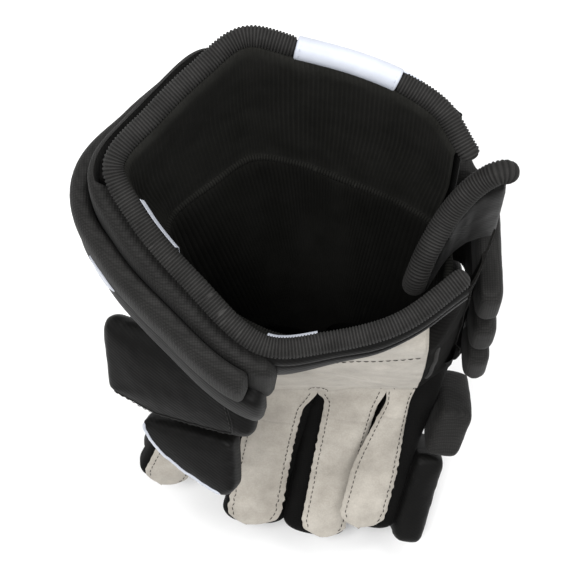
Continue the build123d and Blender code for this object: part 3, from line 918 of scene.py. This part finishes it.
gaps = (kx[1:] - kx[:-1]) / 2
HALF = 11.9
for i, n in enumerate(order):
    d = digits[n]
    left = gaps[i - 1] if i else 14.5
    right = gaps[i] if i < 3 else 13.5
    if n == "pinky":
        finger_leather(d, lambda s: 6.6 - 1.2 * np.sin(np.clip(s / 22, 0, 1) * np.pi) + 5.6 * ease((s - 16) / 44),
                       lambda s: 5.4 + 6.3 * ease(s / 62), 11.2, (mids[3], mids[4]), -7.0, 2.3)
    else:
        after = 4.5 if n == "middle" else 0.0
        finger_leather(d, slot_edge(left, left - HALF), slot_edge(right, right - HALF, after), 10.9,
                       (mids[i], mids[i + 1]))
    finger_tube(d, 12.9, 12.3, 8.0, max(left - 12.8, 0), max(right - 12.8, 0), middle=10.4, sunk=6.4,
                wide=(5.9 if n == "ring" else 0.0, 6.1 if n == "middle" else 0.0))
    for part in ("base", "tip"):
        puff(f"{n}_{part}_pad", f"{n}_{part}_roll", MESH if part == "base" else NYLON,
             f"{n}_{part}", voxel=2.3, shrink=0.9, cap=1.9)

# ---- thumb -----------------------------------------------------------------------------------
finger_tube(thumb, 13.0, 12.2, 9.2, 5.0, 14.0, 30.0)
path = digit_line(thumb)
for tag, s0, s1, a, b, node in (("a", path.zero - 2, path.mid, "hand", "thumb_base", "thumb_base_leather"),
                               ("b", path.mid, path.long - 0.1, "thumb_base", "thumb_tip", "thumb_tip_leather")):
    S, T = np.meshgrid(np.linspace(s0, s1, 30), np.linspace(-1, 1, 21), indexing="ij")
    al = path.along(np.clip(S, 1, path.long - 1))
    n = unit(np.cross(al, np.broadcast_to(thumb.x, al.shape)))
    w = 12.0 * (1 - (1 - np.clip((path.long - S) / 9, 0, 1)) ** 2.4) ** 0.5
    crown = 0.3 + 1.0 * (1 - T ** 2) - 0.8 * np.abs(T) ** 7
    p = path.at(S) + thumb.x * (T * w)[..., None] + n * crown[..., None]
    o = thicken(surface("thumb_leather_" + tag, p, LEATHER), 1.0)
    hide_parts(node)
    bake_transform(o)
    cloth_sheet(o)


def block_shape(p):
    """The block's outer end reaches up under the cuff and is cut away towards the tip."""
    d = p - thumb.k
    a, b = d @ thumb.x, d @ thumb.z1
    lift = 2.0 * ease((b - 6) / 20) * ease((a - 4) / 30) + 7.5 * ease((-b - 1) / 15) * ease((a - 6) / 28)
    return p + np.outer(lift, thumb.z1)


block = puff("thumb_base_block", "thumb_block_pad", NYLON, "thumb_base", voxel=2.6,
             shrink=1.2, cap=2.6, shape=block_shape)
guard = puff("thumb_tip_guard", "thumb_guard", NYLON, "thumb_tip", voxel=2.3,
             shrink=0.9, cap=1.5, ripple=0.15)
pts = [thumb.j + thumb.x * a + thumb.y2 * 31 - thumb.z2 * b
       for a, b in ((19.4, 1.5), (18.4, 8.6), (11.8, 17.8), (1.4, 25.4), (-10.2, 31.4), (-18, 34.4))]
spots, _ = drape_on(guard, curve(pts, dense=14), 0.2)
o = tube("thumb_piping", Path(spots), 0.75, WHITE, around=8, step=0.8, taper=1.5)
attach(o, "thumb_tip")

# ---- hand pads ---------------------------------------------------------------------------------
for i in (1, 2, 3):
    puff(f"back_roll_{i}", f"hand_back_pad_{i}", MESH, "hand", voxel=3.2, shrink=1.2, cap=2.6)

# side of the hand and of the wrist, from the leather's edge to the rolls
rows = []
OUT = unit(arr(0.75, -0.66, 0))
for v in np.linspace(0, 1, 84):
    z = 33 * (1 - v) - 106 * v
    up = ease((z - 2) / 24)
    tuck = arr(50.0, float(palm_y(arr(50.0), arr(z))[0]) + 2.3, z)
    a = arr(53.6, float(palm_y(arr(53.6), arr(z))[0]) + 0.9, z)
    b = arr(75.5 + 3.5 * up + 4.0 * ease((-z - 82) / 12), -9 + 5 * v + 4.0 * up, z)
    m = (a + (b - a) * 0.5 + OUT * 2.6) * (1 - up) + arr(66.8, -31.2, z) * up
    line = Path(curve([tuck, a, m, b], dense=12))
    t = np.linspace(0, 1, 46)
    p = line.at(t * line.long)
    p += np.outer(-1.3 * np.exp(-((t - 0.74) / 0.03) ** 2) + 0.25 * wobble(t * 14 + z * 0.4, 12, 31), OUT)
    rows.append(p)
side_grid = np.array(rows)
side = thicken(surface("side_panel_cloth", side_grid, PANEL), 0.9, 0)
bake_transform(side)
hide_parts("side_panel")
cloth_sheet(side)
line = side_grid[22:82, 37] + OUT * 0.55
o = dashes("side_seam", Path(line), OUT, LOCK, 2.0, 0.9, 0.22)
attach(o, "hand")
line = side_grid[24:64, 9] + OUT * 0.7
o = tube("side_ribbed_edge", Path(line), 1.1, KNIT, around=10, pitch=1.3, depth=0.3, taper=6, flat=0.7)
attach(o, "hand")

# shell cloth between the lining and the pads, carried on to the wrist
n = 420
share = np.linspace(0.002, 0.998, n)
wall = rim_at(share, -0.9)
angle = np.arctan2(wall[:, 1] - MID_W[1], wall[:, 0] - MID_W[0])
low = hand_at(angle, np.full(n, -4.0), np.full(n, 1.9))
front = ease((share - 0.72) / 0.05)
rows = []
for v in np.linspace(0, 1, 30):
    k = ease((v - 0.55 + 0.4 * front) / (0.45 + 0.15 * front))[:, None]
    p = wall * (1 - k) + low * k
    p[:, 2] = (wall[:, 2] - 2.2) * (1 - v) - 4.0 * v
    rows.append(p)
core = thicken(surface("cuff_shell_cloth", np.array(rows), NYLON), 0.7, 0)
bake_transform(core)
cloth_sheet(core)

# ---- cuff bands and rolls -----------------------------------------------------------------------
def cuff_band(name, start, end, profile, mat, nodes=(), count=170, level=None, cap=(4.0, 4.0)):
    """Closed padded band swept round the cuff; profile gives (out, rise) pairs for a share."""
    ends = np.linspace(0, 1, count)
    share = start + (end - start) * (0.8 * ends + 0.2 * (1 - np.cos(np.pi * ends)) / 2)
    g = []
    for i, sh in enumerate(share):
        prof = curve([(a, b, 0) for a, b in profile(sh)], True, 6)[:-1]
        mid = prof.mean(0)
        near = min((sh - start) * RIM_LONG / cap[0], (end - sh) * RIM_LONG / cap[1], 1)
        k = math.sqrt(max(1 - (1 - near) ** 2, 0.0004))
        q = mid + (prof - mid) * k
        w = 0.25 * wobble(sh * 400 + np.arange(len(q)) * 0.6, 33, 17)
        p = rim_at(np.full(len(q), sh), q[:, 0] + w, q[:, 1] + w * 0.5)
        if level is not None:
            p[:, 2] = level(p[:, 1]) + q[:, 1]
        g.append(p)
    o = surface(name, np.array(g), mat, wrap_v=True)
    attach(o, "cuff")
    if nodes:
        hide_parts(*nodes)
    return o


def shoulder_inner(sh):
    return 6.9 - 6.1 * ease((sh - 0.496) / 0.012)


cuff_band("cuff_shoulder", 0.315, 0.765,
          lambda sh: [(shoulder_inner(sh) + 0.8, -5.4), (max(4.6, shoulder_inner(sh) + 1.3), -3.7),
                      (8.0, -3.4), (10.2, -5.6), (10.9, -11), (10.8, -24), (9.6, -33),
                      (shoulder_inner(sh) + 0.6, -32), (shoulder_inner(sh), -14)],
          MESH, ["cuff_shoulder_band"], cap=(14.0, 4.0))
ROLL = [(10.95, 0), (11.3, 7.6), (13.2, 10.3), (16.4, 10.0), (19.0, 6.8), (19.9, 0.5), (19.2, -6.5),
        (16.2, -10.0), (12.8, -10.2), (11.2, -7.0)]
BAND = [(7.2, -11.2), (12, -10.9), (16.2, -11.8), (18.2, -17), (18.4, -25), (15.6, -34), (11.5, -37.5),
        (8.2, -36), (6.9, -24)]
cuff_band("cuff_roll", 0.318, 0.744, lambda sh: ROLL, MESH, ["cuff_outer_roll"],
          level=lambda y: 34 + 0.2 * y, cap=(14.0, 1.8))
cuff_band("cuff_nylon_band", 0.437, 0.757, lambda sh: BAND, NYLON, ["cuff_lower_band"],
          level=lambda y: 34 + 0.2 * y, cap=(6.0, 3.0))
puff("cuff_back_panel", "cuff_back_pad", NYLON, "cuff", voxel=2.8, shrink=0.5, cap=1.8)
puff("cuff_back_roll", "cuff_back_cushion", MESH, "cuff", voxel=2.8, shrink=1.0, cap=2.4)

# palm band: a folded strip under the binding, then the band itself
share = np.linspace(0.755, 0.992, 220)
rows = []
prof = [(3.2, -2.6), (4.6, -4.6), (4.9, -6.6), (4.0, -8.2), (4.7, -9.6), (4.9, -12), (4.4, -15), (3.2, -18)]
pr = curve([(a, b, 0) for a, b in prof], dense=6)
for a, b, _ in pr:
    p = rim_at(share, a + 0.25 * wobble(share * 400, 30, 6), b)
    f = (b + 8.2) / -9.8
    if f > 0:
        lowest = np.minimum(13.5 + 0.25 * p[:, 0], p[:, 2] + (-b) - 10.5)
        top_z = p[:, 2] - b - 8.2
        p[:, 2] = top_z + (lowest - top_z) * f
    rows.append(p)
o = thicken(surface("palm_band_cloth", np.array(rows), NYLON), 1.1)
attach(o, "cuff")
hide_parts("cuff_palm_band")
cloth_sheet(o)

# ---- flap ------------------------------------------------------------------------------------------
puff("cuff_flap_pad", "flap_pad", NYLON, "cuff_flap", voxel=2.2, shrink=0.4, cap=1.6)
edge = curve([(46.5, -22.5, 12), (47.8, -20.5, 22), (51.5, -13.8, 30.5), (59, -3.2, 40.5), (67, 3.6, 50),
              (73.5, 6.9, 55.5), (78.5, 8.2, 58.4), (81.8, 8.8, 57.6), (83.2, 9.0, 54)])
path = Path(edge)
o = tube("flap_binding", path, 4.8, KNIT, around=18, pitch=1.3, depth=0.75, taper=4, up=(0.65, -0.76, 0))
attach(o, "cuff_flap")
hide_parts("cuff_flap_binding")


# ---- blank woven labels, the side accent and pad seams ----------------------------------------------
def share_near(x, y):
    d = np.hypot(rim_plan.p[:, 0] - x, rim_plan.p[:, 1] - y)
    return rim_plan.s[np.argmin(d)] / RIM_LONG


for tag, a, b, deep in (("side", share_near(-66, -5), share_near(-52, -22), 11.0),
                        ("front", share_near(-14, -55), share_near(8, -54), 7.0)):
    share = np.linspace(a, b, 50)
    rows = [rim_at(share, -4.5 - 1.6 * ease(v * 3), -0.6 - deep * v) for v in np.linspace(0, 1, 14)]
    o = thicken(surface("blank_label_" + tag, np.array(rows), WHITE), 0.35)
    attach(o, "cuff")
a = share_near(-68, -6)
rows = []
for v in np.linspace(0, 1, 14):
    share = np.linspace(a - 0.016 + 0.012 * v, a + 0.03 - 0.02 * v, 30)
    rows.append(rim_at(share, 19.0 - 0.5 * v * v, 0, level=None) * arr(1, 1, 0)
                + np.stack([0 * share, 0 * share, 34 + 0.2 * rim_at(share, 18)[:, 1] - 13.5 - 11 * v], -1))
o = thicken(surface("side_accent", np.array(rows), WHITE), 0.5, 0)
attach(o, "cuff")

face = thumb.k + thumb.y1 * 36
ends = ((25, 0), (14, 0.8), (2, -0.6), (-8, 0.7), (-15, -0.4))
line = [face - thumb.x * (29.5 + c) + thumb.z1 * b for b, c in ends]
seam_on("thumb_block_end_seam", block, line, "thumb_base")
line = [face + thumb.x * a + thumb.z1 * (-15.5 + 6.5 * float(ease((a - 6) / 28)))
        for a in np.linspace(31, -28, 9)]
seam_on("thumb_block_hem", block, line, "thumb_base", cord=0.4)
for i in (1, 2, 3):
    pad = bpy.data.objects[f"hand_back_pad_{i}"]
    low, high = verts_of(f"back_roll_{i}").min(0), verts_of(f"back_roll_{i}").max(0)
    for tag, x in (("a", -26), ("b", 8), ("c", 42)):
        z0 = (low[2] + high[2]) / 2
        line = [(x, 80, z0 + h) for h in (12, 6, 0, -6, -12)]
        seam_on(f"hand_back_seam_{i}{tag}", pad, line, "hand")

for name, node in list(frame["nodes"].items()):
    if "plate" in name:
        node.data.materials.clear()
        node.data.materials.append(PLASTIC)
